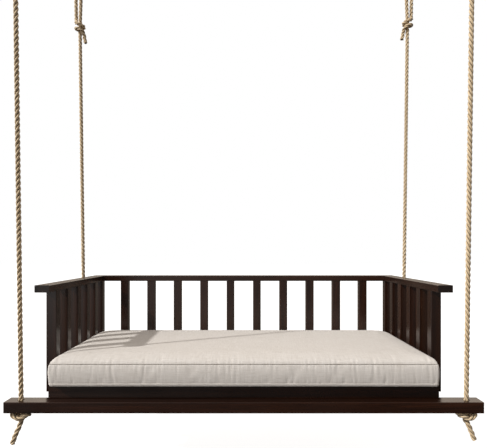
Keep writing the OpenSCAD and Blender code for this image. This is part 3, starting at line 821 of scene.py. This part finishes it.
def welt_tree():
    """a round cord along a line, for the piping and for the dark cord whose colour paints the shade in the seam"""
    tree, given = new_tree("welt", {"Radius": "Float", "Unevenness": "Float", "Material": "Material"})
    line = add(tree, "GeometryNodeMeshToCurve", {"Mesh": given["Geometry"]}).outputs[0]
    line = add(tree, "GeometryNodeResampleCurve", {"Curve": line, "Length": 0.006}, mode="LENGTH").outputs[0]
    place = add(tree, "GeometryNodeInputPosition").outputs[0]
    lumps = add(tree, "ShaderNodeTexNoise", {"Vector": place, "Scale": 45.0, "Detail": 2.0}).outputs[0]
    lumps = maths(tree, "MULTIPLY", maths(tree, "SUBTRACT", lumps, 0.5), given["Unevenness"])
    radius = maths(tree, "MULTIPLY", given["Radius"], maths(tree, "ADD", 1.0, lumps))
    ring = add(tree, "GeometryNodeCurvePrimitiveCircle", {"Resolution": 10, "Radius": 1.0}).outputs[0]
    welt = add(
        tree, "GeometryNodeCurveToMesh", {"Curve": line, "Profile Curve": ring, "Scale": radius}
    ).outputs[0]
    welt = add(tree, "GeometryNodeSetShadeSmooth", {"Geometry": welt}).outputs[0]
    end_tree(tree, welt, given["Material"])
    return tree


def round_line(inset, z):
    """points round the mattress at a height, close together at its corners"""
    xs = grid_lines(HALF_X - inset, NEAR_SEAM, 0.02)
    ys = grid_lines(HALF_Y - inset, NEAR_SEAM, 0.02)
    rim = [(x, ys[0]) for x in xs[:-1]] + [(xs[-1], y) for y in ys[:-1]]
    rim += [(x, ys[-1]) for x in xs[:0:-1]] + [(xs[0], y) for y in ys[:0:-1]]
    flat = (on_outline(x, y, inset) for x, y in rim)
    return [(x, MID_Y + y, DECK + z) for x, y in flat]


def seam_thread():
    material, _, surface = new_material("seam_thread")
    # painted shade: the cord's dark colour stands in for the shade in the seam's crease
    surface.inputs["Base Color"].default_value = (0.16, 0.135, 0.11, 1)
    surface.inputs["Roughness"].default_value = 0.95
    return material


linen = linen_weave()
mattress = filled_cover("mattress_cover")
pucker(mattress.data)
mattress.data.shade_smooth()
weave_map(mattress.data)
mattress.data.materials.append(linen)
welt = welt_tree()
piping = grow(
    thread_object("mattress_piping", round_line(PIPING_IN, PIPING_UP), closed=True),
    welt, radius=PIPING_R, unevenness=0.25, material=linen,
)
# a dark cord laid in the seam: painted shade for the seam's crease
seam = grow(
    thread_object("mattress_seam", round_line(SEAM_CORD_IN, SEAM_UP), closed=True),
    welt, radius=SEAM_CORD_R, unevenness=0.4, material=seam_thread(),
)
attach(mattress, "bed")
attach(piping, "bed")
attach(seam, "bed")
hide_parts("mattress")

# ---------- fasteners and ceiling fittings ----------
# Zinc-plated steel: shoulder eye bolts that screw up into the ceiling joists, oval links that the rope's
# loops lie in, wood screws and lag bolts. The dowels are bare softwood, like the joists.


def zinc_plate():
    material, tree, surface = new_material("zinc_steel")
    place = add(tree, "ShaderNodeTexCoord").outputs["Object"]
    blotch = stretched_noise(tree, place, (60, 60, 60), 4.0, 0.6)
    zinc = ramp(tree, blotch, (0.35, (0.40, 0.40, 0.40)), (0.65, (0.62, 0.62, 0.63)))
    tree.links.new(zinc, surface.inputs["Base Color"])
    surface.inputs["Metallic"].default_value = 1.0
    tree.links.new(graded(tree, blotch, 0.3, 0.7, 0.28, 0.5), surface.inputs["Roughness"])
    return material


dress(["eye_bolts", "front_links", "rear_links", "spindle_screws", "deck_screws", "beam_bolts"], zinc_plate())
dress(["dowels"], bare_pine("z"))

# ---------- floor and light ----------
# A plain pale floor in a white room: the wall behind the bed is the brightest, the room behind the camera is
# dim. One key light, small and far off, comes from the left and front.

FLOOR_BELOW = -3.12
FLOOR_SIDE, FLOOR_FRONT, FLOOR_BACK = 20, -20, 40
floor_mesh = bpy.data.meshes.new("floor")
floor_corners = [(x, FLOOR_FRONT, FLOOR_BELOW) for x in (-FLOOR_SIDE, FLOOR_SIDE)]
floor_corners += [(x, FLOOR_BACK, FLOOR_BELOW) for x in (FLOOR_SIDE, -FLOOR_SIDE)]
floor_mesh.from_pydata(floor_corners, [], [(0, 1, 2, 3)])
floor = bpy.data.objects.new("floor", floor_mesh)
floor.visible_glossy = False
floor.visible_diffuse = False
scene.collection.objects.link(floor)
pale, _, surface = new_material("pale_floor")
surface.inputs["Base Color"].default_value = (0.3, 0.3, 0.3, 1)
surface.inputs["Roughness"].default_value = 0.9
surface.inputs["Emission Color"].default_value = (1, 1, 1, 1)
surface.inputs["Emission Strength"].default_value = 0.9
floor_mesh.materials.append(pale)

WALL, ROOM, OVERHEAD, BELOW = 1.38, 0.24, 0.44, 0.05
GLOW, GLOW_FROM = 1.3, (-0.72, -0.68, 0.14)
sky = bpy.data.worlds.new("studio")
sky.use_nodes = True
scene.world = sky
tree = sky.node_tree
background = tree.nodes["Background"]
direction = add(tree, "ShaderNodeTexCoord").outputs["Generated"]
way = add(tree, "ShaderNodeSeparateXYZ", {"Vector": direction}).outputs


def across(value, start, end, low_value=0.0, high_value=1.0):
    """how the room's light changes along one direction"""
    return graded(tree, value, start, end, low_value, high_value, "SMOOTHSTEP")


def towards(light, share, other):
    """light that changes to another by a share"""
    return maths(tree, "ADD", light, maths(tree, "MULTIPLY", share, maths(tree, "SUBTRACT", other, light)))


back_wall = across(way["Z"], 0.05, 0.32, 0.15 * WALL, WALL)
walls = towards(ROOM, across(way["Y"], -0.10, 0.60), back_wall)
facing_glow = maths(tree, "MAXIMUM", dotted(tree, direction, GLOW_FROM), 0.0)
glow = maths(tree, "MULTIPLY", maths(tree, "POWER", facing_glow, 4.0), GLOW)
walls = maths(tree, "ADD", walls, glow)
light = towards(walls, across(way["Z"], 0.35, 0.80), OVERHEAD)
light = towards(light, across(way["Z"], -0.08, -0.30), BELOW)
warmth = mixed(tree, across(way["Y"], 0.1, 0.7), (1.0, 0.95, 0.92), (1.0, 0.86, 0.72))
tree.links.new(warmth, background.inputs["Color"])
tree.links.new(light, background.inputs["Strength"])
plain = add(tree, "ShaderNodeBackground", {"Color": (1, 1, 1, 1), "Strength": 1.0})
seen = add(tree, "ShaderNodeLightPath").outputs["Is Camera Ray"]
chosen = add(tree, "ShaderNodeMixShader", {0: seen, 1: background.outputs[0], 2: plain.outputs[0]})
tree.links.new(chosen.outputs[0], tree.nodes["World Output"].inputs[0])

KEY_TOWARD = Vector((1.24, 0.645, -1.0))
KEY_ENERGY, KEY_ANGLE = 2.9, math.radians(1.7)
key = bpy.data.lights.new("key", "SUN")
key.energy = KEY_ENERGY
key.angle = KEY_ANGLE
key.color = (1.0, 0.985, 0.965)
key_light = bpy.data.objects.new("key", key)
key_light.rotation_euler = KEY_TOWARD.to_track_quat("-Z", "Y").to_euler()
scene.collection.objects.link(key_light)

scene.view_settings.view_transform = "Standard"
